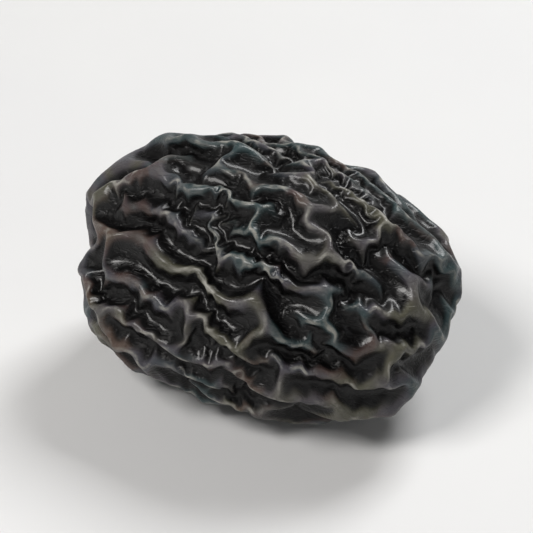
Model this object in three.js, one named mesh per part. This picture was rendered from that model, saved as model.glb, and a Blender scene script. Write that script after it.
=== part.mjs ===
// A dried ajwa date lying on its side, at its real size in millimetres.
//
// The fruit is one closed solid. Its flesh is egg-shaped, with the dimple of the lost stem at one
// end and a low point at the other. Its skin once fitted the plump fruit, so it is too large for
// the dried flesh and lies in folds. The folds are worked out as they form: the skin is a net of
// springs longer than the flesh allows, it resists bending, and it clings to the flesh. The fruit
// shrank more round its girth than along its length, so most ridges run from end to end, and
// wind a little round it.
//
// Frame: the origin is on the ground under the middle of the fruit, +X points from the stem end
// to the tip, and +Z is up.
import * as THREE from "three";
import { mergeVertices } from "three/addons/utils/BufferGeometryUtils.js";

// The dried flesh under the skin, which adds about a millimetre of ridges to each size.
const FLESH_LENGTH = 29;
const FLESH_WIDTH = 20.6;
const FLESH_HEIGHT = 19.2;
// The power of the outline curve: 2 gives an ellipse, and more gives blunter ends.
const BLUNTNESS = 2.22;
// The tip end is slimmer than the middle by this share, and the stem end is as much wider.
const TAPER = 0.07;
// How far both ends bend up and to the front.
const BEND_UP = 0.5;
const BEND_FRONT = 0.7;

// Unevenness of the flesh: broad lumps, and small bumps on them. Each random field is a number of
// waves of this spacing, which varies by the spread.
const LUMPS = { height: 0.4, spacing: 16, spread: 0.3, waves: 14 };
const BUMPS = { height: 0.16, spacing: 5, spread: 0.3, waves: 30 };

// Sides pressed flatter as the fruit dried: the way each faces, and its distance from the middle.
const PRESSED_SIDES = [
  { facing: new THREE.Vector3(-0.25, -0.75, 0.6).normalize(), distance: 9.2 },
  { facing: new THREE.Vector3(0.5, 0.35, 0.8).normalize(), distance: 10.6 },
  { facing: new THREE.Vector3(0.1, 0.95, 0.1).normalize(), distance: 9.9 },
];
// The share of the flesh beyond such a side that gave way, how softly its edge turns, and how
// much of that soft turn is left as it was.
const PRESS_SHARE = 0.75;
const PRESS_EASE = 1.0;
const PRESS_START = 0.1;

// The stem end faces a little up and to the front, and has a dimple with a low rim.
const STEM_FACING = new THREE.Vector3(-1, -0.22, 0.2).normalize();
const DIMPLE_DEPTH = 1.7;
const DIMPLE_RADIUS = 1.7;
const RIM_HEIGHT = 0.3;
const RIM_RADIUS = 2.9;
const RIM_WIDTH = 0.9;
// The tip end's low point.
const TIP_HEIGHT = 0.5;
const TIP_RADIUS = 1.0;

// The fruit's own weight keeps its underside flat from this height above the flesh's lowest level.
const SAG = 0.32;
const SAG_EASE = 0.08;
const GROUND = SAG - FLESH_HEIGHT / 2;
// The spot that rests on the ground is flat up to this height above it.
const REST_DEPTH = 0.1;
// The skin is smooth up to the first height above the ground, and fully folded from the second.
const FOLDS_START = 0.2;
const FOLDS_FULL = 2.2;

// The skin. Its excess is how much longer it is than the flesh under it: nearly round the fruit,
// which is across the ridges, and nearly along it, which is along them.
const GIRTH_EXCESS = 0.28;
const LENGTH_EXCESS = 0.08;
// The ridges wind round the fruit. On the front they sink towards the tip at this angle.
const RIDGE_WINDING = THREE.MathUtils.degToRad(16);
// The excess varies from patch to patch by about this share, and never falls below the least.
const PATCHES = { contrast: 0.3, least: 0.2, spacing: 14, spread: 0.3, waves: 12 };
// The folds' natural spacing, and the first faint waves that they grow from.
const RIDGE_SPACING = 3.0;
const FIRST_WAVES = { height: 0.08, spacing: RIDGE_SPACING, spread: 0.35, waves: 60 };
// The skin lies smooth around the stem dimple.
const SMOOTH_RADIUS = 2.2;

// The springs have a stiffness of 1, and the rest is measured against them.
const BENDING = 0.5;
const SLIDING = 0.002;
// The flesh resists the skin being pressed in this many times more than being lifted off.
const PRESSING = 3.5;
const STEPS = 1500;
const TIME_STEP = 0.4;
const DAMPING = 0.97;

// The solid's triangles are 20 times this number squared. The skin folds as a net twice as fine.
const FREQUENCY = 24;
const SKIN_FREQUENCY = 2 * FREQUENCY;
// The net is turned and its vertices shifted a little, so that no fold follows its rows.
const NET_TURN = new THREE.Euler(0.4, 0.9, 0.25);
const NET_SHIFT = 0.24 / SKIN_FREQUENCY;
// How far the sharpest creases are drawn in, so that the larger triangles don't turn them to teeth.
const ROUNDING = 0.5;
const SEED = 101;

/** A repeatable source of numbers from 0 to 1. */
function randomSource(seed) {
  let state = seed >>> 0;
  return () => {
    state = (state + 0x6d2b79f5) >>> 0;
    let mixed = Math.imul(state ^ (state >>> 15), state | 1);
    mixed ^= mixed + Math.imul(mixed ^ (mixed >>> 7), mixed | 61);
    return ((mixed ^ (mixed >>> 14)) >>> 0) / 2 ** 32;
  };
}

/** A smooth random field about one high: plane waves of nearly one length, added up. */
function waveField(random, field) {
  const waves = [];
  while (waves.length < field.waves) {
    const height = 2 * random() - 1;
    const angle = 2 * Math.PI * random();
    const reach = Math.sqrt(1 - height * height);
    const number = (2 * Math.PI / field.spacing) * (1 + field.spread * (2 * random() - 1));
    const along = new THREE.Vector3(reach * Math.cos(angle), reach * Math.sin(angle), height);
    waves.push({ along: along.multiplyScalar(number), phase: 2 * Math.PI * random() });
  }
  const scale = Math.sqrt(2 / field.waves);
  return (point) => {
    let sum = 0;
    for (const wave of waves) sum += Math.sin(wave.along.dot(point) + wave.phase);
    return scale * sum;
  };
}

/** The value where it is positive and nought elsewhere, with a soft turn between the two. */
function softPositive(value, ease) {
  return 0.5 * (value + Math.sqrt(value * value + ease));
}

/** One at nought, falling away smoothly over the width. */
function bell(distance, width) {
  return Math.exp(-((distance / width) ** 2));
}

/** From nought at the low value to one at the high value, smoothly. */
function ramp(value, low, high) {
  return THREE.MathUtils.smoothstep(value, low, high);
}

const random = randomSource(SEED);
const lumps = waveField(random, LUMPS);
const patches = waveField(random, PATCHES);
const bumps = waveField(random, BUMPS);
const firstWaves = waveField(random, FIRST_WAVES);

/** How far a point is from the line through the middle and the stem. */
function stemDistance(point) {
  const along = point.dot(STEM_FACING);
  return Math.sqrt(Math.max(0, point.lengthSq() - along * along));
}

/** The egg shape in one direction from the middle: blunt, tapered and bent. */
function eggPoint(direction) {
  const lengthwise = Math.abs(direction.x) / (FLESH_LENGTH / 2);
  const crosswise = Math.hypot(direction.y / (FLESH_WIDTH / 2), direction.z / (FLESH_HEIGHT / 2));
  const power = lengthwise ** BLUNTNESS + crosswise ** BLUNTNESS;
  const point = direction.clone().multiplyScalar(power ** (-1 / BLUNTNESS));
  const station = point.x / (FLESH_LENGTH / 2);
  point.y *= 1 - TAPER * station;
  point.z *= 1 - TAPER * station;
  point.z += BEND_UP * station * station;
  return point;
}

/** Flattens the point against each pressed side that it lies beyond. */
function press(point) {
  for (const side of PRESSED_SIDES) {
    const beyond = softPositive(point.dot(side.facing) - side.distance, PRESS_EASE);
    point.addScaledVector(side.facing, -PRESS_SHARE * Math.max(0, beyond - PRESS_START));
  }
}

/** Adds the stem end's dimple and rim, or the tip end's low point. */
function shapeEnds(point) {
  if (point.x < 0) {
    const distance = stemDistance(point);
    const rim = RIM_HEIGHT * bell(distance - RIM_RADIUS, RIM_WIDTH);
    point.addScaledVector(STEM_FACING, rim - DIMPLE_DEPTH * bell(distance, DIMPLE_RADIUS));
  } else {
    const distance = Math.hypot(point.y + BEND_FRONT, point.z - BEND_UP);
    point.x += TIP_HEIGHT * bell(distance, TIP_RADIUS);
  }
}

/** The flesh's surface in one direction from the middle. */
function fleshPoint(direction) {
  const point = eggPoint(direction);
  const unevenness = LUMPS.height * lumps(point) + BUMPS.height * bumps(point);
  point.addScaledVector(direction, unevenness);
  press(point);
  point.y -= BEND_FRONT * (point.x / (FLESH_LENGTH / 2)) ** 2;
  shapeEnds(point);
  point.z += softPositive(GROUND - point.z, SAG_EASE);
  return point;
}

/** A sphere of nearly equal triangles that share their vertices. */
function sphereNet(frequency) {
  const sphere = new THREE.IcosahedronGeometry(1, frequency - 1);
  sphere.deleteAttribute("uv");
  sphere.deleteAttribute("normal");
  return mergeVertices(sphere, 1e-5);
}

/** The fine net laid on the flesh. */
function fleshNet() {
  const net = sphereNet(SKIN_FREQUENCY);
  const places = net.attributes.position;
  const direction = new THREE.Vector3();
  for (let i = 0; i < places.count; i++) {
    direction.fromBufferAttribute(places, i).normalize();
    direction.x += NET_SHIFT * (2 * random() - 1);
    direction.y += NET_SHIFT * (2 * random() - 1);
    direction.z += NET_SHIFT * (2 * random() - 1);
    direction.normalize().applyEuler(NET_TURN);
    const point = fleshPoint(direction);
    places.setXYZ(i, point.x, point.y, point.z);
  }
  net.computeVertexNormals();
  return net;
}

/** How much longer than the flesh the skin is at a point, for an edge that runs one way. */
function excess(point, way) {
  const outward = Math.hypot(point.y, point.z) || 1;
  const hoop = (way.z * point.y - way.y * point.z) / outward;
  const across = hoop * Math.cos(RIDGE_WINDING) - way.x * Math.sin(RIDGE_WINDING);
  const share = (across / way.length()) ** 2;
  const most = LENGTH_EXCESS + (GIRTH_EXCESS - LENGTH_EXCESS) * share;
  const patch = Math.max(PATCHES.least, 1 + PATCHES.contrast * patches(point));
  const raised = ramp(point.z - GROUND, FOLDS_START, FOLDS_FULL);
  const clear = point.x < 0 ? 1 - bell(stemDistance(point), SMOOTH_RADIUS) : 1;
  return most * patch * raised * clear;
}

/** The skin: a net of springs that starts on the flesh. Its arrays hold three numbers a vertex. */
class Skin {
  constructor(net) {
    this.flesh = Float64Array.from(net.attributes.position.array);
    this.outward = Float64Array.from(net.attributes.normal.array);
    this.force = new Float64Array(this.flesh.length);
    this.curvature = new Float64Array(this.flesh.length);
    this.fleshCurvature = new Float64Array(this.flesh.length);
    this.joinEdges(net.index.array);
    this.measureEdges();
    this.addCurvature(this.flesh, this.fleshCurvature);
  }

  /** Lists each edge once, as where its two vertices start in the arrays. */
  joinEdges(corners) {
    const from = [];
    const to = [];
    this.neighbours = new Float64Array(this.flesh.length / 3);
    for (let k = 0; k < corners.length; k++) {
      const next = k % 3 === 2 ? k - 2 : k + 1;
      this.neighbours[corners[k]] += 1;
      if (corners[k] > corners[next]) continue;
      from.push(3 * corners[k]);
      to.push(3 * corners[next]);
    }
    this.from = Int32Array.from(from);
    this.to = Int32Array.from(to);
  }

  /** Takes each edge's length on the flesh, and the length that it grows by. */
  measureEdges() {
    this.fitted = new Float64Array(this.from.length);
    this.extra = new Float64Array(this.from.length);
    const start = new THREE.Vector3();
    const end = new THREE.Vector3();
    for (let e = 0; e < this.from.length; e++) {
      start.fromArray(this.flesh, this.from[e]);
      end.fromArray(this.flesh, this.to[e]);
      const way = end.clone().sub(start);
      this.fitted[e] = way.length();
      this.extra[e] = way.length() * excess(start.lerp(end, 0.5), way);
    }
    this.meanEdge = this.fitted.reduce((sum, length) => sum + length, 0) / this.fitted.length;
  }

  /** The mean of each vertex's neighbours less its own place, added to the result. */
  addCurvature(places, result) {
    const { from, to, neighbours } = this;
    for (let e = 0; e < from.length; e++) {
      for (let k = 0; k < 3; k++) {
        const step = places[to[e] + k] - places[from[e] + k];
        result[from[e] + k] += step / neighbours[from[e] / 3];
        result[to[e] + k] -= step / neighbours[to[e] / 3];
      }
    }
  }

  /** The skin tries to keep the flesh's own curve. */
  bend(places) {
    const { force, curvature, fleshCurvature } = this;
    curvature.fill(0);
    this.addCurvature(places, curvature);
    for (let k = 0; k < curvature.length; k++) {
      curvature[k] = BENDING * (fleshCurvature[k] - curvature[k]);
    }
    force.fill(0);
    this.addCurvature(curvature, force);
  }

  /** Each edge pushes or pulls towards its length, which has grown by this share of its extra. */
  stretch(places, growth) {
    const { from, to, fitted, extra, force } = this;
    for (let e = 0; e < from.length; e++) {
      const i = from[e];
      const j = to[e];
      const x = places[j] - places[i];
      const y = places[j + 1] - places[i + 1];
      const z = places[j + 2] - places[i + 2];
      const length = Math.sqrt(x * x + y * y + z * z);
      const pull = 1 - (fitted[e] + growth * extra[e]) / length;
      force[i] += pull * x;
      force[i + 1] += pull * y;
      force[i + 2] += pull * z;
      force[j] -= pull * x;
      force[j + 1] -= pull * y;
      force[j + 2] -= pull * z;
    }
  }

  /** The flesh holds the skin, firmly across its surface and weakly along it. */
  cling(places) {
    const { flesh, outward, force } = this;
    const lifting = BENDING / (RIDGE_SPACING / (Math.PI * this.meanEdge)) ** 4;
    for (let i = 0; i < places.length; i += 3) {
      const x = places[i] - flesh[i];
      const y = places[i + 1] - flesh[i + 1];
      const z = places[i + 2] - flesh[i + 2];
      const lift = x * outward[i] + y * outward[i + 1] + z * outward[i + 2];
      const hold = (lift < 0 ? PRESSING * lifting : lifting) - SLIDING;
      force[i] -= hold * lift * outward[i] + SLIDING * x;
      force[i + 1] -= hold * lift * outward[i + 1] + SLIDING * y;
      force[i + 2] -= hold * lift * outward[i + 2] + SLIDING * z;
    }
  }

  /** Moves the skin by one step of time, and keeps it above the ground. */
  move(places, speed) {
    for (let k = 0; k < places.length; k++) {
      speed[k] = DAMPING * (speed[k] + TIME_STEP * this.force[k]);
      places[k] += TIME_STEP * speed[k];
    }
    for (let k = 2; k < places.length; k += 3) {
      if (places[k] >= GROUND) continue;
      places[k] = GROUND;
      speed[k] = 0;
    }
  }

  /** Grows the skin through the first half of the steps, lets it settle, and returns its places. */
  fold() {
    const places = Float64Array.from(this.flesh);
    const speed = new Float64Array(places.length);
    const point = new THREE.Vector3();
    for (let i = 0; i < places.length; i += 3) {
      const lift = FIRST_WAVES.height * firstWaves(point.fromArray(this.flesh, i));
      for (let k = i; k < i + 3; k++) places[k] += lift * this.outward[k];
    }
    for (let step = 1; step <= STEPS; step++) {
      this.bend(places);
      this.stretch(places, Math.min(1, 2 * step / STEPS));
      this.cling(places);
      this.move(places, speed);
    }
    return places;
  }
}

/** Draws each of the skin's vertices part of the way to the middle of its neighbours. */
function roundOff(skin, places) {
  const curvature = new Float64Array(places.length);
  skin.addCurvature(places, curvature);
  return places.map((place, k) => place + ROUNDING * curvature[k]);
}

/** Where the vertex of the fine sphere nearest to a point of the sphere starts in its array. */
function nearestVertex(sphere, x, y, z) {
  let best = 0;
  let closest = -1;
  for (let i = 0; i < sphere.length; i += 3) {
    const closeness = x * sphere[i] + y * sphere[i + 1] + z * sphere[i + 2];
    if (closeness <= closest) continue;
    closest = closeness;
    best = i;
  }
  return best;
}

/** The solid's surface: each vertex of the coarse sphere is moved to the skin's place for it. */
function fruitSurface(places) {
  const surface = sphereNet(FREQUENCY);
  const fine = sphereNet(SKIN_FREQUENCY).attributes.position.array;
  const corners = surface.attributes.position;
  for (let i = 0; i < corners.count; i++) {
    const k = nearestVertex(fine, corners.getX(i), corners.getY(i), corners.getZ(i));
    corners.setXYZ(i, places[k], places[k + 1], Math.max(places[k + 2], GROUND + REST_DEPTH));
  }
  surface.computeVertexNormals();
  return surface;
}

const driedSkin = new THREE.MeshStandardMaterial({
  color: 0x211d1d,
  roughness: 0.45,
  metalness: 0,
});

const skin = new Skin(fleshNet());
const date = new THREE.Mesh(fruitSurface(roundOff(skin, skin.fold())), driedSkin);
date.name = "date";
date.geometry.computeBoundingBox();
const middle = date.geometry.boundingBox.getCenter(new THREE.Vector3());
date.position.set(-middle.x, -middle.y, -date.geometry.boundingBox.min.z);

const fruit = new THREE.Group();
fruit.add(date);

export default fruit;
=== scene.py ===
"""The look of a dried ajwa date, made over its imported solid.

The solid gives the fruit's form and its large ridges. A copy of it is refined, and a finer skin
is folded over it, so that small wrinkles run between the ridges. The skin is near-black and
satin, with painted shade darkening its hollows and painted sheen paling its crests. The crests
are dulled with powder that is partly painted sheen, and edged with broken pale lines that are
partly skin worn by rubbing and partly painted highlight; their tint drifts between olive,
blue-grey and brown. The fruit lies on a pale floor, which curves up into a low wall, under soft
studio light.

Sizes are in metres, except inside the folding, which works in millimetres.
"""
import logging
import math
from dataclasses import dataclass
from enum import Enum

import bmesh
import bpy
import numpy as np
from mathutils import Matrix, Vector


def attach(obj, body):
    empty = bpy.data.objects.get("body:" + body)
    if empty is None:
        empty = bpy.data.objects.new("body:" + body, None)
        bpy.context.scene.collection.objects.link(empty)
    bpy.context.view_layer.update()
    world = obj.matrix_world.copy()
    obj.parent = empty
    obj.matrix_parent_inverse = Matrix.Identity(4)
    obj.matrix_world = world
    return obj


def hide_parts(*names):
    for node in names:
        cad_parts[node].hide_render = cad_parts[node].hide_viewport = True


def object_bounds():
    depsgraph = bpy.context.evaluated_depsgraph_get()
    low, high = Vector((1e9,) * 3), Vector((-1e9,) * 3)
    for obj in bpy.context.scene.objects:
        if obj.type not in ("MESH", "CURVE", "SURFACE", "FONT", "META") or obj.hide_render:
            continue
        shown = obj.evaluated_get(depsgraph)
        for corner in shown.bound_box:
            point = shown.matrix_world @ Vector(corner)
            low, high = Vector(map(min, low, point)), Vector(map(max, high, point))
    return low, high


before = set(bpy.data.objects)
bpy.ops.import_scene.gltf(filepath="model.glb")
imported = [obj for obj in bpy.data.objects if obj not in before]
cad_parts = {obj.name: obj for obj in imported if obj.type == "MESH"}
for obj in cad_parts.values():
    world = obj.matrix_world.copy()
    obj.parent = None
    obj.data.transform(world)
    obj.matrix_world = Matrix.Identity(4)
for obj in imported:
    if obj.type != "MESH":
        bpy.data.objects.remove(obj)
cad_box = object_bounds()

MM = 0.001
HALF = np.float32(0.5)
NEARLY_NOUGHT = np.float32(1e-9)

Colour = tuple[float, float, float]
Socket = bpy.types.NodeSocket

log = logging.getLogger("ajwa_date")


class Trace(Enum):
    """What the skin keeps at each vertex, for its finish to read.

    RIDGE and CRINKLE are the heights of the large ridges and of the small wrinkles, in
    millimetres. SHARPNESS is how tightly the skin bends outwards: one over the radius of the
    bend, in millimetres.
    """

    RIDGE = "ridge_height"
    CRINKLE = "crinkle_height"
    SHARPNESS = "crest_sharpness"


@dataclass(frozen=True)
class WaveField:
    """A smooth, repeatable random field: plane waves of nearly one length, added up.

    Attributes:
        seed: Which of the many such fields it is.
        spacing: The waves' mean length, in millimetres.
        spread: The share by which their lengths differ.
        waves: How many there are.
    """

    seed: int
    spacing: float
    spread: float = 0.3
    waves: int = 40

    def sample(self, points: np.ndarray) -> np.ndarray:
        """Returns the field at each point.

        Args:
            points: One row of three coordinates a point, in millimetres.

        Returns:
            One number a point, spread about nought with a size of about one.
        """
        rng = np.random.default_rng(self.seed)
        along = rng.normal(size=(self.waves, 3))
        along /= np.linalg.norm(along, axis=1, keepdims=True)
        stretch = rng.uniform(1 - self.spread, 1 + self.spread, self.waves)
        phases = rng.uniform(0, 2 * math.pi, self.waves)
        number = 2 * math.pi / self.spacing * stretch
        angles = points @ (along * number[:, None]).T + phases
        return (math.sqrt(2 / self.waves) * np.sin(angles).sum(axis=1)).astype(np.float32)


class Net:
    """A mesh as a net of vertices joined by its edges, in millimetres.

    Attributes:
        mesh: The mesh that it stands for.
        places: Where each vertex is, one row each.
        outward: The direction out of the surface at each vertex.
        near: Each vertex's neighbours in a row, filled up with the vertex itself.
        degree: How many neighbours each vertex really has, in one column.
    """

    def __init__(self, mesh: bpy.types.Mesh) -> None:
        """Reads the places, outward directions and neighbours of the mesh's vertices.

        Args:
            mesh: The mesh, in metres.
        """
        self.mesh = mesh
        self.places = self._read("co") / np.float32(MM)
        self.outward = self._read("normal")
        ends = np.empty(2 * len(mesh.edges), dtype=np.int32)
        mesh.edges.foreach_get("vertices", ends)
        self.near, self.degree = self._neighbours(ends.reshape(-1, 2))

    def _read(self, name: str) -> np.ndarray:
        """Returns a property of three numbers a vertex, one row each.

        Args:
            name: The property's name.

        Returns:
            The numbers, one row a vertex.
        """
        values = np.empty(3 * len(self.mesh.vertices), dtype=np.float32)
        self.mesh.vertices.foreach_get(name, values)
        return values.reshape(-1, 3)

    def _neighbours(self, ends: np.ndarray) -> tuple[np.ndarray, np.ndarray]:
        """Lists each vertex's neighbours.

        Args:
            ends: The two vertices of each edge.

        Returns:
            The table of neighbours, and how many of them each vertex really has.
        """
        owner = np.concatenate([ends[:, 0], ends[:, 1]])
        other = np.concatenate([ends[:, 1], ends[:, 0]])
        order = np.argsort(owner, kind="stable")
        owner, other = owner[order], other[order]
        degree = np.bincount(owner, minlength=len(self.places))
        first = np.concatenate([[0], np.cumsum(degree)[:-1]])
        near = np.repeat(np.arange(len(self.places))[:, None], degree.max(), axis=1)
        near[owner, np.arange(len(owner)) - first[owner]] = other
        return near, degree[:, None].astype(np.float32)

    def curvature(self, values: np.ndarray) -> np.ndarray:
        """Returns the mean of each vertex's neighbours less its own value."""
        return (np.take(values, self.near, axis=0) - values[:, None]).sum(axis=1) / self.degree

    def smoothed(self, values: np.ndarray, passes: int) -> np.ndarray:
        """Evens out values over the surface.

        Args:
            values: One row a vertex.
            passes: How many times each value moves half-way to its neighbours' mean.

        Returns:
            The evened values, one row a vertex.
        """
        for _ in range(passes):
            values = values + HALF * self.curvature(values)
        return values

    def sharpness(self) -> np.ndarray:
        """Works out how tightly the surface bends outwards.

        Returns:
            Twice the bulge over the neighbours' mean squared distance, in one column.
        """
        steps = np.take(self.places, self.near, axis=0) - self.places[:, None]
        reach = (steps**2).sum(axis=(1, 2))[:, None] / self.degree
        bulge = -(self.curvature(self.places) * self.outward).sum(axis=1, keepdims=True)
        return 2 * bulge / reach

    def write(self, places: np.ndarray) -> None:
        """Moves the mesh's vertices to these places."""
        self.mesh.vertices.foreach_set("co", (places * MM).astype(np.float32).ravel())
        self.mesh.update()

    def keep(self, trace: Trace, values: np.ndarray) -> None:
        """Stores one number a vertex on the mesh, under the trace's name."""
        layer = self.mesh.attributes.new(trace.value, "FLOAT", "POINT")
        layer.data.foreach_set("value", values.astype(np.float32).ravel())


@dataclass(frozen=True)
class FineFolds:
    """The small wrinkles between the ridges, folded by a skin that is too large for its flesh.

    The skin is a net of springs that are longer than the surface under it allows. It resists
    bending, and clings to that surface.

    Attributes:
        spacing: The wrinkles' natural spacing, in millimetres.
        excess: How much longer the skin is than the surface under it.
        girth_share: The share by which that is more across the large ridges than along them.
        even_share: The mean, over all directions, of a direction's squared part across them.
        winding: The angle at which the large ridges wind round the fruit.
        bending: The stiffness against bending, where a spring's is one.
        sliding: How weakly the skin is held against sliding.
        pressing: How many times harder it is to press in than to lift off.
        steps: The steps of time that the folding takes.
        growing: The share of them in which the springs grow.
        time_step: The length of each.
        damping: The share of its speed that the skin keeps from one step to the next.
        first_waves: The height of the faint waves that it starts with, in millimetres.
        smooth_below: The height above the floor up to which it stays smooth, in millimetres.
        folded_above: The height from which it is folded in full.
        patches: The field that makes it more folded here and less there.
        patch_contrast: How strongly that field counts.
        least_patch: The least part of the folding that is left anywhere.
        start: The field of the first waves.
        shortest_edge: What counts as an edge, and not as a filled-up place, in millimetres.
    """

    spacing: float = 1.3
    excess: float = 0.10
    girth_share: float = 0.6
    even_share: float = 0.5
    winding: float = math.radians(16)
    bending: float = 0.2
    sliding: float = 0.003
    pressing: float = 2.5
    steps: int = 320
    growing: float = 0.5
    time_step: float = 0.4
    damping: float = 0.965
    first_waves: float = 0.02
    smooth_below: float = 0.25
    folded_above: float = 1.4
    patches: WaveField = WaveField(seed=5, spacing=5.5, waves=30)
    patch_contrast: float = 0.25
    least_patch: float = 0.15
    start: WaveField = WaveField(seed=9, spacing=1.3, spread=0.35, waves=60)
    shortest_edge: float = 1e-6

    def fold(self, net: Net) -> np.ndarray:
        """Folds the skin over the net's places.

        Args:
            net: The net on the surface that it is folded over.

        Returns:
            The folded places, one row a vertex.
        """
        flesh = net.places
        steps = np.take(flesh, net.near, axis=0) - flesh[:, None]
        lengths = np.sqrt((steps**2).sum(axis=2)) + NEARLY_NOUGHT
        extra = self._extra_lengths(net, lengths, steps)
        mean_edge = float(lengths[lengths > self.shortest_edge].mean())
        lifting = self.bending / (self.spacing / (math.pi * mean_edge)) ** 4
        skin = flesh + self.first_waves * self.start.sample(flesh)[:, None] * net.outward
        speed = np.zeros_like(skin)
        for step in range(1, self.steps + 1):
            growth = min(1.0, step / (self.growing * self.steps))
            shift = skin - flesh
            force = self._stretch(net, skin, lengths + growth * extra)
            force -= self.bending * net.curvature(net.curvature(shift))
            force -= self._cling(net, shift, lifting)
            speed = self.damping * (speed + self.time_step * force)
            skin = skin + self.time_step * speed
            skin[:, 2] = np.maximum(skin[:, 2], 0)
        return skin

    def _extra_lengths(self, net: Net, lengths: np.ndarray, steps: np.ndarray) -> np.ndarray:
        """Works out how much each spring grows.

        Args:
            net: The net on the surface that it is folded over.
            lengths: The springs' lengths on that surface.
            steps: The way from each vertex to each of its neighbours.

        Returns:
            The extra length of each spring, laid out as the lengths are.
        """
        middle = net.places[:, None] + steps / 2
        radius = np.hypot(middle[..., 1], middle[..., 2]) + NEARLY_NOUGHT
        hoop = (steps[..., 2] * middle[..., 1] - steps[..., 1] * middle[..., 2]) / radius
        across = hoop * math.cos(self.winding) - steps[..., 0] * math.sin(self.winding)
        share = (across / lengths) ** 2
        patch = 1 + self.patch_contrast * self.patches.sample(net.places)
        patch = np.clip(patch, self.least_patch, None)
        low, high = self.smooth_below, self.folded_above
        raised = np.clip((net.places[:, 2] - low) / (high - low), 0, 1)
        local = patch * raised * raised * (3 - 2 * raised)
        local = (local[:, None] + local[net.near]) / 2
        return lengths * self.excess * local * (1 + self.girth_share * (share - self.even_share))

    def _stretch(self, net: Net, skin: np.ndarray, targets: np.ndarray) -> np.ndarray:
        """Works out the force of the springs.

        Args:
            net: The net whose neighbours are joined by springs.
            skin: The skin's places.
            targets: The length that each spring would like to have.

        Returns:
            The force on each vertex, one row each.
        """
        steps = np.take(skin, net.near, axis=0) - skin[:, None]
        lengths = np.sqrt((steps**2).sum(axis=2)) + NEARLY_NOUGHT
        return ((1 - targets / lengths)[..., None] * steps).sum(axis=1)

    def _cling(self, net: Net, shift: np.ndarray, lifting: float) -> np.ndarray:
        """Works out the force that the surface holds the skin back with.

        Args:
            net: The net on that surface, with its outward directions.
            shift: How far each vertex of the skin has moved from it.
            lifting: The stiffness against lifting off.

        Returns:
            The force against the shift, one row a vertex.
        """
        lift = (shift * net.outward).sum(axis=1, keepdims=True)
        firmness = np.where(lift < 0, self.pressing, 1.0).astype(np.float32) * lifting
        return (firmness - self.sliding) * lift * net.outward + self.sliding * shift


@dataclass(frozen=True)
class Clouds:
    """A cloudy field from nought to one.

    Attributes:
        size: How wide its clouds are.
        detail: How many times finer clouds are added to them.
        distortion: How far they are swirled.
    """

    size: float
    detail: float = 3.0
    distortion: float = 0.0


@dataclass(frozen=True)
class Turn:
    """A smooth turn from one value to another.

    Attributes:
        low: Where it begins.
        high: Where it ends.
        start: The value up to the low end.
        end: The value from the high end on.
    """

    low: float
    high: float
    start: float = 0.0
    end: float = 1.0


class Sheet:
    """A material's node tree, built one node a call.

    An input is a plain value or another node's socket.

    Attributes:
        material: The material.
        tree: Its nodes and links.
    """

    def __init__(self, name: str) -> None:
        """Starts an empty material of this name."""
        self.material = bpy.data.materials.new(name)
        self.material.use_nodes = True
        self.tree = self.material.node_tree
        self.tree.nodes.clear()

    def node(self, kind: str, inputs: dict | None = None, **settings: object) -> bpy.types.Node:
        """Adds a node.

        Args:
            kind: The node's type, without its leading "ShaderNode".
            inputs: A value or a socket for each input, by its name or number.
            settings: The node's own properties.

        Returns:
            The node.
        """
        made = self.tree.nodes.new("ShaderNode" + kind)
        for name, value in settings.items():
            setattr(made, name, value)
        for name, value in (inputs or {}).items():
            self._fill(made.inputs[name], value)
        return made

    def _fill(self, socket: Socket, value: Socket | float | tuple) -> None:
        """Links a socket to another one, or sets its value."""
        if isinstance(value, Socket):
            self.tree.links.new(value, socket)
        else:
            socket.default_value = value

    def place(self) -> Socket:
        """Returns each point's own place on the object."""
        return self.node("TexCoord").outputs["Object"]

    def trace(self, trace: Trace) -> Socket:
        """Returns what the skin keeps at each vertex under this trace's name."""
        return self.node("Attribute", attribute_name=trace.value).outputs["Fac"]

    def clouds(self, place: Socket, clouds: Clouds) -> Socket:
        """Returns a cloudy field over these places."""
        inputs = {
            "Vector": place,
            "Scale": 1 / clouds.size,
            "Detail": clouds.detail,
            "Distortion": clouds.distortion,
        }
        return self.node("TexNoise", inputs).outputs["Fac"]

    def turn(self, value: Socket, turn: Turn) -> Socket:
        """Returns where a value stands in a smooth turn."""
        inputs = {
            "Value": value,
            "From Min": turn.low,
            "From Max": turn.high,
            "To Min": turn.start,
            "To Max": turn.end,
        }
        return self.node("MapRange", inputs, interpolation_type="SMOOTHSTEP").outputs["Result"]

    def math(self, operation: str, first: Socket, second: Socket | float) -> Socket:
        """Returns the result of one sum, product or the like."""
        return self.node("Math", {0: first, 1: second}, operation=operation).outputs["Value"]

    def product(self, first: Socket, *others: Socket | float) -> Socket:
        """Returns all of these multiplied together."""
        for other in others:
            first = self.math("MULTIPLY", first, other)
        return first

    def mix(self, share: Socket, first: Socket | Colour, second: Socket | Colour) -> Socket:
        """Mixes two colours.

        Args:
            share: How far the way is from the first colour to the second.
            first: The colour at nought.
            second: The colour at one.

        Returns:
            The mixed colour.
        """
        made = self.node("Mix", data_type="RGBA")
        sockets = {socket.name: socket for socket in made.inputs if socket.enabled}
        for name, value in {"Factor": share, "A": first, "B": second}.items():
            self._fill(sockets[name], value if isinstance(value, Socket) else (*value, 1.0))
        return next(socket for socket in made.outputs if socket.enabled)

    def bump(self, depth: float, height: Socket, normal: Socket | None = None) -> Socket:
        """Works out the normal of a shallow relief.

        Args:
            depth: How deep it is, where its height runs from nought to one.
            height: Its height.
            normal: The normal of the relief that it lies on, if any.

        Returns:
            The normal.
        """
        inputs = {"Strength": 1.0, "Distance": depth, "Height": height}
        if normal is not None:
            inputs["Normal"] = normal
        return self.node("Bump", inputs).outputs["Normal"]

    def finish(self, inputs: dict[str, Socket | float]) -> bpy.types.Material:
        """Adds the shader with these inputs, and returns the material."""
        shader = self.node("BsdfPrincipled", inputs).outputs["BSDF"]
        self.node("OutputMaterial", {"Surface": shader})
        return self.material


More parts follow.
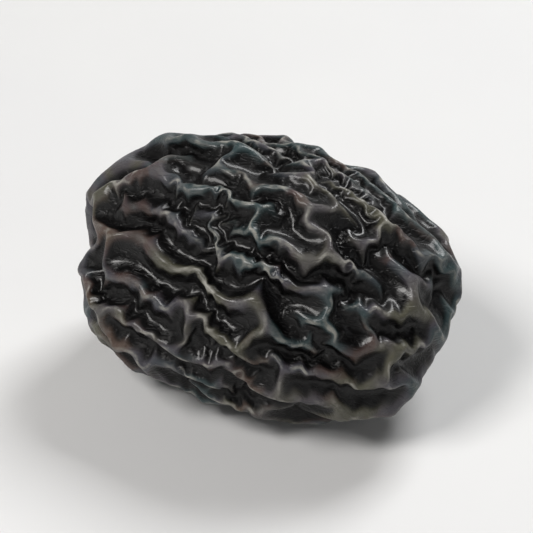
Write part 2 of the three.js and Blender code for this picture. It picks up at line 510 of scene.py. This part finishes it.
@dataclass(frozen=True)
class TintWithPaintedLight:
    """The skin's colour: painted shade, nearly black, in the hollows, and painted sheen, paler and
    drifting in tint, along the crests.

    Attributes:
        painted_shade_hollow: The painted shade deep between the ridges.
        crest: The colour along the ridges, a little violet, paler as painted sheen.
        olive: The crests' colour in the olive patches.
        slate: The crests' colour in the blue-grey patches.
        brown: The red-brown of thin, lifted skin.
        drift: The field that the blue-grey and the olive patches lie in.
        leaving_slate: Where the blue-grey gives way, in that field.
        reaching_olive: Where the olive takes over.
        thinness: The field that the thin skin lies in.
        reaching_thin: Where the skin is thin, in that field.
        brown_share: How much of the brown shows there.
    """

    painted_shade_hollow: Colour = (0.0018, 0.0016, 0.0017)
    crest: Colour = (0.0560, 0.0480, 0.0620)
    olive: Colour = (0.0700, 0.0670, 0.0460)
    slate: Colour = (0.0300, 0.0510, 0.0540)
    brown: Colour = (0.0780, 0.0450, 0.0350)
    drift: Clouds = Clouds(7.0 * MM, detail=2.0, distortion=0.5)
    leaving_slate: Turn = Turn(0.40, 0.56)
    reaching_olive: Turn = Turn(0.50, 0.64)
    thinness: Clouds = Clouds(5.6 * MM, distortion=0.8)
    reaching_thin: Turn = Turn(0.54, 0.68)
    brown_share: float = 0.8

    def colour(self, sheet: Sheet, place: Socket, crest: Socket) -> Socket:
        """Colours the clean skin, painting shade into the hollows and sheen along the crests.

        Args:
            sheet: The material's nodes.
            place: Each point's place.
            crest: Nought in the hollows and one along the crests.

        Returns:
            The colour.
        """
        drift = sheet.clouds(place, self.drift)
        tint = sheet.mix(sheet.turn(drift, self.leaving_slate), self.slate, self.crest)
        tint = sheet.mix(sheet.turn(drift, self.reaching_olive), tint, self.olive)
        thin = sheet.turn(sheet.clouds(place, self.thinness), self.reaching_thin)
        tint = sheet.mix(sheet.product(thin, self.brown_share), tint, self.brown)
        # Painted shade: the hollows go nearly black, and the crests keep a paler colour as painted
        # sheen.
        return sheet.mix(crest, self.painted_shade_hollow, tint)


@dataclass(frozen=True)
class BloomAndSheen:
    """The natural powder in clouds, laid mostly along the crests, where its grey is partly painted
    sheen.

    Attributes:
        colour: The grey of the powder and of the painted sheen.
        clouds: The field that it lies in.
        clouding: How much of it lies where, in that field.
        grain: The field of its grains.
        graining: How much they thin it out.
        rise_to_crests: How it thickens from the hollows to the crests, as painted sheen.
        cover: How much of the skin's colour it hides.
        dulling: How much rougher it makes the skin.
    """

    colour: Colour = (0.120, 0.118, 0.115)
    clouds: Clouds = Clouds(2.2 * MM, detail=5.0, distortion=0.4)
    clouding: Turn = Turn(0.40, 0.66, start=0.10)
    grain: Clouds = Clouds(0.22 * MM, detail=2.0)
    graining: Turn = Turn(0.30, 0.70, start=0.55)
    rise_to_crests: Turn = Turn(0.45, 1.0)
    cover: float = 0.45
    dulling: float = 0.2

    def amount(self, sheet: Sheet, place: Socket, crest: Socket) -> Socket:
        """Works out how much powder, partly painted sheen, lies at a place.

        Args:
            sheet: The material's nodes.
            place: Each point's place.
            crest: Nought in the hollows and one along the crests.

        Returns:
            Nought for clean skin, and one for the thickest powder and sheen.
        """
        cloud = sheet.turn(sheet.clouds(place, self.clouds), self.clouding)
        grain = sheet.turn(sheet.clouds(place, self.grain), self.graining)
        # Thickest on the crests, where the grey is partly painted sheen.
        return sheet.product(cloud, grain, sheet.turn(crest, self.rise_to_crests))


@dataclass(frozen=True)
class RubbedEdgesAndHighlights:
    """The broken, pale lines along the sharpest crests, partly skin worn by rubbing and partly
    painted highlight.

    Attributes:
        colour: Their pale colour, partly painted highlight.
        sharpening: How they show as the skin bends more tightly.
        breaks: The field that breaks them.
        breaking: Where they are broken, in that field.
        rising: How they show as the ridges stand higher, in millimetres.
        cover: How much of the skin's colour they hide.
    """

    colour: Colour = (0.330, 0.320, 0.285)
    sharpening: Turn = Turn(0.75, 2.0)
    breaks: Clouds = Clouds(1.1 * MM, detail=4.0)
    breaking: Turn = Turn(0.40, 0.62)
    rising: Turn = Turn(0.0, 0.45, start=0.25)
    cover: float = 0.8

    def amount(self, sheet: Sheet, place: Socket) -> Socket:
        """Works out how far the skin is worn, with painted highlight along the wear.

        Args:
            sheet: The material's nodes.
            place: Each point's place.

        Returns:
            Nought for whole skin, and up to the cover along a worn edge with painted highlight.
        """
        sharp = sheet.turn(sheet.trace(Trace.SHARPNESS), self.sharpening)
        broken = sheet.turn(sheet.clouds(place, self.breaks), self.breaking)
        high = sheet.turn(sheet.trace(Trace.RIDGE), self.rising)
        # Pale lines on the sharpest, highest crests: partly worn skin, partly painted highlight.
        return sheet.product(sharp, broken, high, self.cover)


@dataclass(frozen=True)
class Creasing:
    """The finest relief: creases drawn out along the fruit, with grain over them.

    Attributes:
        creases: The field whose middle values the creases follow.
        drawn_out: How much the field is squeezed along each axis. Less makes it longer.
        middle: The middle value.
        flank: How a crease rises away from it.
        depth: The creases' depth.
        grain: The field of the grain.
        grain_depth: The grain's depth.
    """

    creases: Clouds = Clouds(0.55 * MM, detail=2.0, distortion=0.7)
    drawn_out: tuple[float, float, float] = (0.45, 1.0, 1.0)
    middle: float = 0.5
    flank: Turn = Turn(0.0, 0.09)
    depth: float = 0.030 * MM
    grain: Clouds = Clouds(0.22 * MM)
    grain_depth: float = 0.008 * MM

    def normal(self, sheet: Sheet, place: Socket) -> Socket:
        """Works out the normal of the relief.

        Args:
            sheet: The material's nodes.
            place: Each point's place.

        Returns:
            The normal.
        """
        mapping = sheet.node("Mapping", {"Vector": place, "Scale": self.drawn_out})
        wave = sheet.clouds(mapping.outputs["Vector"], self.creases)
        away = sheet.math("ABSOLUTE", sheet.math("SUBTRACT", wave, self.middle), 0.0)
        creased = sheet.bump(self.depth, sheet.turn(away, self.flank))
        return sheet.bump(self.grain_depth, sheet.clouds(place, self.grain), creased)


@dataclass(frozen=True)
class SkinFinish:
    """The skin: near-black and satin, with painted shade in its hollows, powder and pale edges that
    are partly painted sheen and highlight, and fine creases.

    Attributes:
        tint: Its colour, with painted shade in the hollows and painted sheen on the crests.
        bloom_and_sheen: The powder on it, partly painted sheen.
        worn_edges_and_highlights: The pale lines along its sharpest crests, partly painted
            highlight.
        creasing: Its finest relief.
        crinkle_share: How many times a small wrinkle's height counts beside a large ridge's.
        cresting: How the hollows turn into crests, over that height in millimetres.
        satin: The field of the shinier and the duller skin.
        gloss: The roughness across that field.
        reflection: How strongly it mirrors, where a half is usual.
        refraction: Its index of refraction.
        coat: How much of a clear, waxy coat it has.
        coat_roughness: That coat's roughness.
    """

    tint: TintWithPaintedLight = TintWithPaintedLight()
    bloom_and_sheen: BloomAndSheen = BloomAndSheen()
    worn_edges_and_highlights: RubbedEdgesAndHighlights = RubbedEdgesAndHighlights()
    creasing: Creasing = Creasing()
    crinkle_share: float = 2.0
    cresting: Turn = Turn(0.06, 0.82)
    satin: Clouds = Clouds(3.08 * MM)
    gloss: Turn = Turn(0.36, 0.60, start=0.30, end=0.50)
    reflection: float = 0.28
    refraction: float = 1.40
    coat: float = 0.20
    coat_roughness: float = 0.14

    def material(self) -> bpy.types.Material:
        """Builds the material.

        Returns:
            The skin's material.
        """
        sheet = Sheet("date_skin")
        place = sheet.place()
        crest = self._crest(sheet)
        bloom_and_sheen = self.bloom_and_sheen.amount(sheet, place, crest)
        # Painted shade in the hollows and painted sheen along the crests, under the drifting tint.
        skin = self.tint.colour(sheet, place, crest)
        # Grey powder over the skin, thickest on the crests as painted sheen.
        skin = sheet.mix(sheet.product(bloom_and_sheen, self.bloom_and_sheen.cover), skin, self.bloom_and_sheen.colour)
        # Pale lines along the sharpest crests, partly worn skin and partly painted highlight.
        skin = sheet.mix(self.worn_edges_and_highlights.amount(sheet, place), skin, self.worn_edges_and_highlights.colour)
        satin = sheet.turn(sheet.clouds(place, self.satin), self.gloss)
        return sheet.finish({
            "Base Color": skin,
            "Roughness": sheet.math("ADD", satin, sheet.product(bloom_and_sheen, self.bloom_and_sheen.dulling)),
            "Normal": self.creasing.normal(sheet, place),
            "Specular IOR Level": self.reflection,
            "IOR": self.refraction,
            "Coat Weight": self.coat,
            "Coat Roughness": self.coat_roughness,
        })

    def _crest(self, sheet: Sheet) -> Socket:
        """Returns nought in the hollows and one along the crests, large and small: the mask of the
        painted shade and sheen, and of where the powder thickens.
        """
        small = sheet.product(sheet.trace(Trace.CRINKLE), self.crinkle_share)
        return sheet.turn(sheet.math("ADD", sheet.trace(Trace.RIDGE), small), self.cresting)


@dataclass(frozen=True)
class Fruit:
    """The whole date, in place of its solid.

    Attributes:
        node: The solid's name.
        name: The piece's name.
        merging: How near two of the solid's corners are, where they are one.
        cuts: How many times each edge of the solid is cut.
        rounding: How many passes round off its facets.
        rounding_pull: How far each pass moves a vertex to its neighbours' mean.
        ridge_reach: How many passes level the ridges, where their height is measured.
        sharpness_reach: How many passes even out the sharpness.
        folds: The small wrinkles.
        finish: The skin's look.
    """

    node: str = "date"
    name: str = "date_skin"
    merging: float = 0.001 * MM
    cuts: int = 3
    rounding: int = 10
    rounding_pull: float = 0.5
    ridge_reach: int = 300
    sharpness_reach: int = 2
    folds: FineFolds = FineFolds()
    finish: SkinFinish = SkinFinish()

    def build(self) -> bpy.types.Object:
        """Makes the piece and its finish.

        Returns:
            The piece, riding on the solid's body.
        """
        mesh = self._refined_copy()
        self._fold(mesh)
        mesh.materials.append(self.finish.material())
        mesh.shade_smooth()
        piece = bpy.data.objects.new(self.name, mesh)
        bpy.context.scene.collection.objects.link(piece)
        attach(piece, "root")
        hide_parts(self.node)
        log.info("%s: %d vertices, %d faces", self.name, len(mesh.vertices), len(mesh.polygons))
        return piece

    def _refined_copy(self) -> bpy.types.Mesh:
        """Copies the solid's surface with smaller faces and its facets rounded off.

        Returns:
            The copy, with no material.
        """
        mesh = bpy.data.meshes.new(self.name)
        work = bmesh.new()
        work.from_mesh(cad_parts[self.node].data)
        bmesh.ops.remove_doubles(work, verts=work.verts, dist=self.merging)
        bmesh.ops.subdivide_edges(work, edges=work.edges, cuts=self.cuts, use_grid_fill=True)
        for _ in range(self.rounding):
            bmesh.ops.smooth_vert(work, verts=work.verts, factor=self.rounding_pull,
                                  use_axis_x=True, use_axis_y=True, use_axis_z=True)
        work.to_mesh(mesh)
        work.free()
        mesh.materials.clear()
        return mesh

    def _fold(self, mesh: bpy.types.Mesh) -> None:
        """Folds the fine wrinkles, and keeps the heights and the sharpness of all ridges.

        Args:
            mesh: The refined copy.
        """
        net = Net(mesh)
        level = net.smoothed(net.places, self.ridge_reach)
        net.keep(Trace.RIDGE, ((net.places - level) * net.outward).sum(axis=1))
        skin = self.folds.fold(net)
        net.keep(Trace.CRINKLE, ((skin - net.places) * net.outward).sum(axis=1))
        net.write(skin)
        folded = Net(mesh)
        folded.keep(Trace.SHARPNESS, folded.smoothed(folded.sharpness(), self.sharpness_reach))


@dataclass(frozen=True)
class FloorFinish:
    """The floor: pale and dull, with the faintest clouding.

    Attributes:
        pale: Its colour.
        shade: Its colour in the clouds.
        clouds: The field that they lie in.
        clouding: Where they are, in that field.
        roughness: Its roughness.
    """

    pale: Colour = (0.71, 0.71, 0.705)
    shade: Colour = (0.69, 0.69, 0.69)
    clouds: Clouds = Clouds(0.04, detail=2.0)
    clouding: Turn = Turn(0.3, 0.7)
    roughness: float = 0.6

    def material(self) -> bpy.types.Material:
        """Builds the material.

        Returns:
            The floor's material.
        """
        sheet = Sheet("pale_floor")
        cloud = sheet.turn(sheet.clouds(sheet.place(), self.clouds), self.clouding)
        colour = sheet.mix(cloud, self.pale, self.shade)
        return sheet.finish({"Base Color": colour, "Roughness": self.roughness})


@dataclass(frozen=True)
class Floor:
    """A round floor, whose rim curves up into a low wall all round.

    Attributes:
        radius: The radius of its flat part.
        cove_radius: The radius of the curve.
        cove_steps: How many rings of faces the curve has.
        segments: How many sides the floor has.
        gap: How far it lies under the fruit, so that they don't touch.
        finish: Its look.
    """

    radius: float = 0.20
    cove_radius: float = 0.15
    cove_steps: int = 15
    segments: int = 120
    gap: float = 0.02 * MM
    finish: FloorFinish = FloorFinish()

    def build(self) -> bpy.types.Object:
        """Makes the floor.

        Returns:
            The floor.
        """
        mesh = bpy.data.meshes.new("floor")
        work = bmesh.new()
        bmesh.ops.create_circle(work, cap_ends=True, radius=self.radius, segments=self.segments)
        bmesh.ops.translate(work, verts=work.verts, vec=(0, 0, -self.gap))
        self._raise_rim(work)
        work.to_mesh(mesh)
        work.free()
        mesh.materials.append(self.finish.material())
        mesh.shade_smooth()
        floor = bpy.data.objects.new("floor", mesh)
        bpy.context.scene.collection.objects.link(floor)
        log.info("floor: %d faces", len(mesh.polygons))
        return floor

    def _raise_rim(self, work: bmesh.types.BMesh) -> None:
        """Curves the floor up at its rim, a quarter of a round, into a low wall.

        Args:
            work: The floor's mesh, a flat disc.
        """
        rim = work.edges[:]
        reach, height = self.radius, 0.0
        for step in range(1, self.cove_steps + 1):
            angle = math.pi / 2 * step / self.cove_steps
            outer = self.radius + self.cove_radius * math.sin(angle)
            upper = self.cove_radius * (1 - math.cos(angle))
            grown = bmesh.ops.extrude_edge_only(work, edges=rim)["geom"]
            ring = [part for part in grown if isinstance(part, bmesh.types.BMVert)]
            edges = [part for part in grown if isinstance(part, bmesh.types.BMEdge)]
            rim = [edge for edge in edges if edge.is_boundary]
            bmesh.ops.scale(work, verts=ring, vec=(outer / reach, outer / reach, 1))
            bmesh.ops.translate(work, verts=ring, vec=(0, 0, upper - height))
            reach, height = outer, upper


def towards(azimuth: float, elevation: float) -> Vector:
    """Works out a direction from the fruit.

    Args:
        azimuth: The angle round the fruit from its front, in degrees.
        elevation: The angle above the horizon, in degrees.

    Returns:
        The direction, of length one.
    """
    across, up = math.radians(azimuth), math.radians(elevation)
    flat = math.cos(up)
    return Vector((math.sin(across) * flat, -math.cos(across) * flat, math.sin(up)))


def aimed(name: str, data: bpy.types.ID, middle: Vector, offset: Vector) -> bpy.types.Object:
    """Places a lamp or a camera so that it looks at the fruit's middle.

    Args:
        name: The object's name.
        data: The lamp or camera.
        middle: The fruit's middle.
        offset: The way from there to the object.

    Returns:
        The object, in the scene.
    """
    made = bpy.data.objects.new(name, data)
    made.location = middle + offset
    made.rotation_euler = (-offset).to_track_quat("-Z", "Y").to_euler()
    bpy.context.scene.collection.objects.link(made)
    return made


@dataclass(frozen=True)
class Lamp:
    """A soft square light.

    Attributes:
        name: What it is for.
        azimuth: Which way it stands from the fruit, in degrees, as the camera's is given.
        elevation: How high it stands, in degrees.
        distance: How far away it stands.
        size: The length of its side.
        power: Its power in watts.
        colour: Its colour.
    """

    name: str
    azimuth: float
    elevation: float
    distance: float
    size: float
    power: float
    colour: Colour = (1.0, 1.0, 1.0)

    def build(self, middle: Vector) -> bpy.types.Object:
        """Makes the light, turned to the fruit's middle."""
        data = bpy.data.lights.new(self.name, "AREA")
        data.size = self.size
        data.energy = self.power
        data.color = self.colour
        return aimed(self.name, data, middle, towards(self.azimuth, self.elevation) * self.distance)


@dataclass(frozen=True)
class Camera:
    """The camera, at the picture's viewing angle.

    Attributes:
        azimuth: Its angle round the fruit, in degrees.
        elevation: Its height above the horizon, in degrees.
        lens: Its focal length, in millimetres.
        fill: The share of the picture's width that the fruit's length would fill.
        nearest: The distance from which it sees.
    """

    azimuth: float = 20.0
    elevation: float = 36.0
    lens: float = 100.0
    fill: float = 0.72
    nearest: float = 1 * MM

    def build(self, middle: Vector, length: float) -> bpy.types.Object:
        """Makes the camera, and looks through it.

        Args:
            middle: The fruit's middle.
            length: The fruit's length.

        Returns:
            The camera.
        """
        data = bpy.data.cameras.new("camera")
        data.lens = self.lens
        data.clip_start = self.nearest
        distance = length / self.fill / (data.sensor_width / data.lens)
        camera = aimed("camera", data, middle, towards(self.azimuth, self.elevation) * distance)
        bpy.context.scene.camera = camera
        return camera


@dataclass(frozen=True)
class Studio:
    """The pale floor, the soft light and the camera.

    Attributes:
        floor: The floor.
        camera: The camera.
        sky_colour: The colour of the even light from all round.
        sky_strength: Its strength.
        lamps: The lights.
    """

    floor: Floor = Floor()
    camera: Camera = Camera()
    sky_colour: Colour = (0.93, 0.96, 1.0)
    sky_strength: float = 0.02
    lamps: tuple[Lamp, ...] = (
        Lamp("key", -38, 52, 0.30, 0.10, 0.70, (1.0, 0.98, 0.96)),
        Lamp("fill", 60, 30, 0.40, 0.18, 0.06, (0.95, 0.97, 1.0)),
        Lamp("back", 160, 52, 0.34, 0.12, 0.90),
    )

    def build(self) -> None:
        """Makes the floor, the light and the camera."""
        low, high = cad_box
        middle = (low + high) / 2
        self.floor.build()
        self._sky()
        for lamp in self.lamps:
            lamp.build(middle)
        self.camera.build(middle, (high - low).x)
        log.info("studio: %d lamps, camera at %g, %g", len(self.lamps), self.camera.azimuth,
                 self.camera.elevation)

    def _sky(self) -> None:
        """Makes the even light from all round."""
        world = bpy.data.worlds.new("studio")
        world.use_nodes = True
        background = world.node_tree.nodes["Background"]
        background.inputs["Color"].default_value = (*self.sky_colour, 1.0)
        background.inputs["Strength"].default_value = self.sky_strength
        bpy.context.scene.world = world


def main() -> None:
    """Builds the fruit and the studio."""
    logging.basicConfig(level=logging.INFO, format="%(name)s: %(message)s")
    bpy.context.scene.view_settings.view_transform = "Standard"
    Fruit().build()
    Studio().build()


if __name__ == "__main__":
    main()
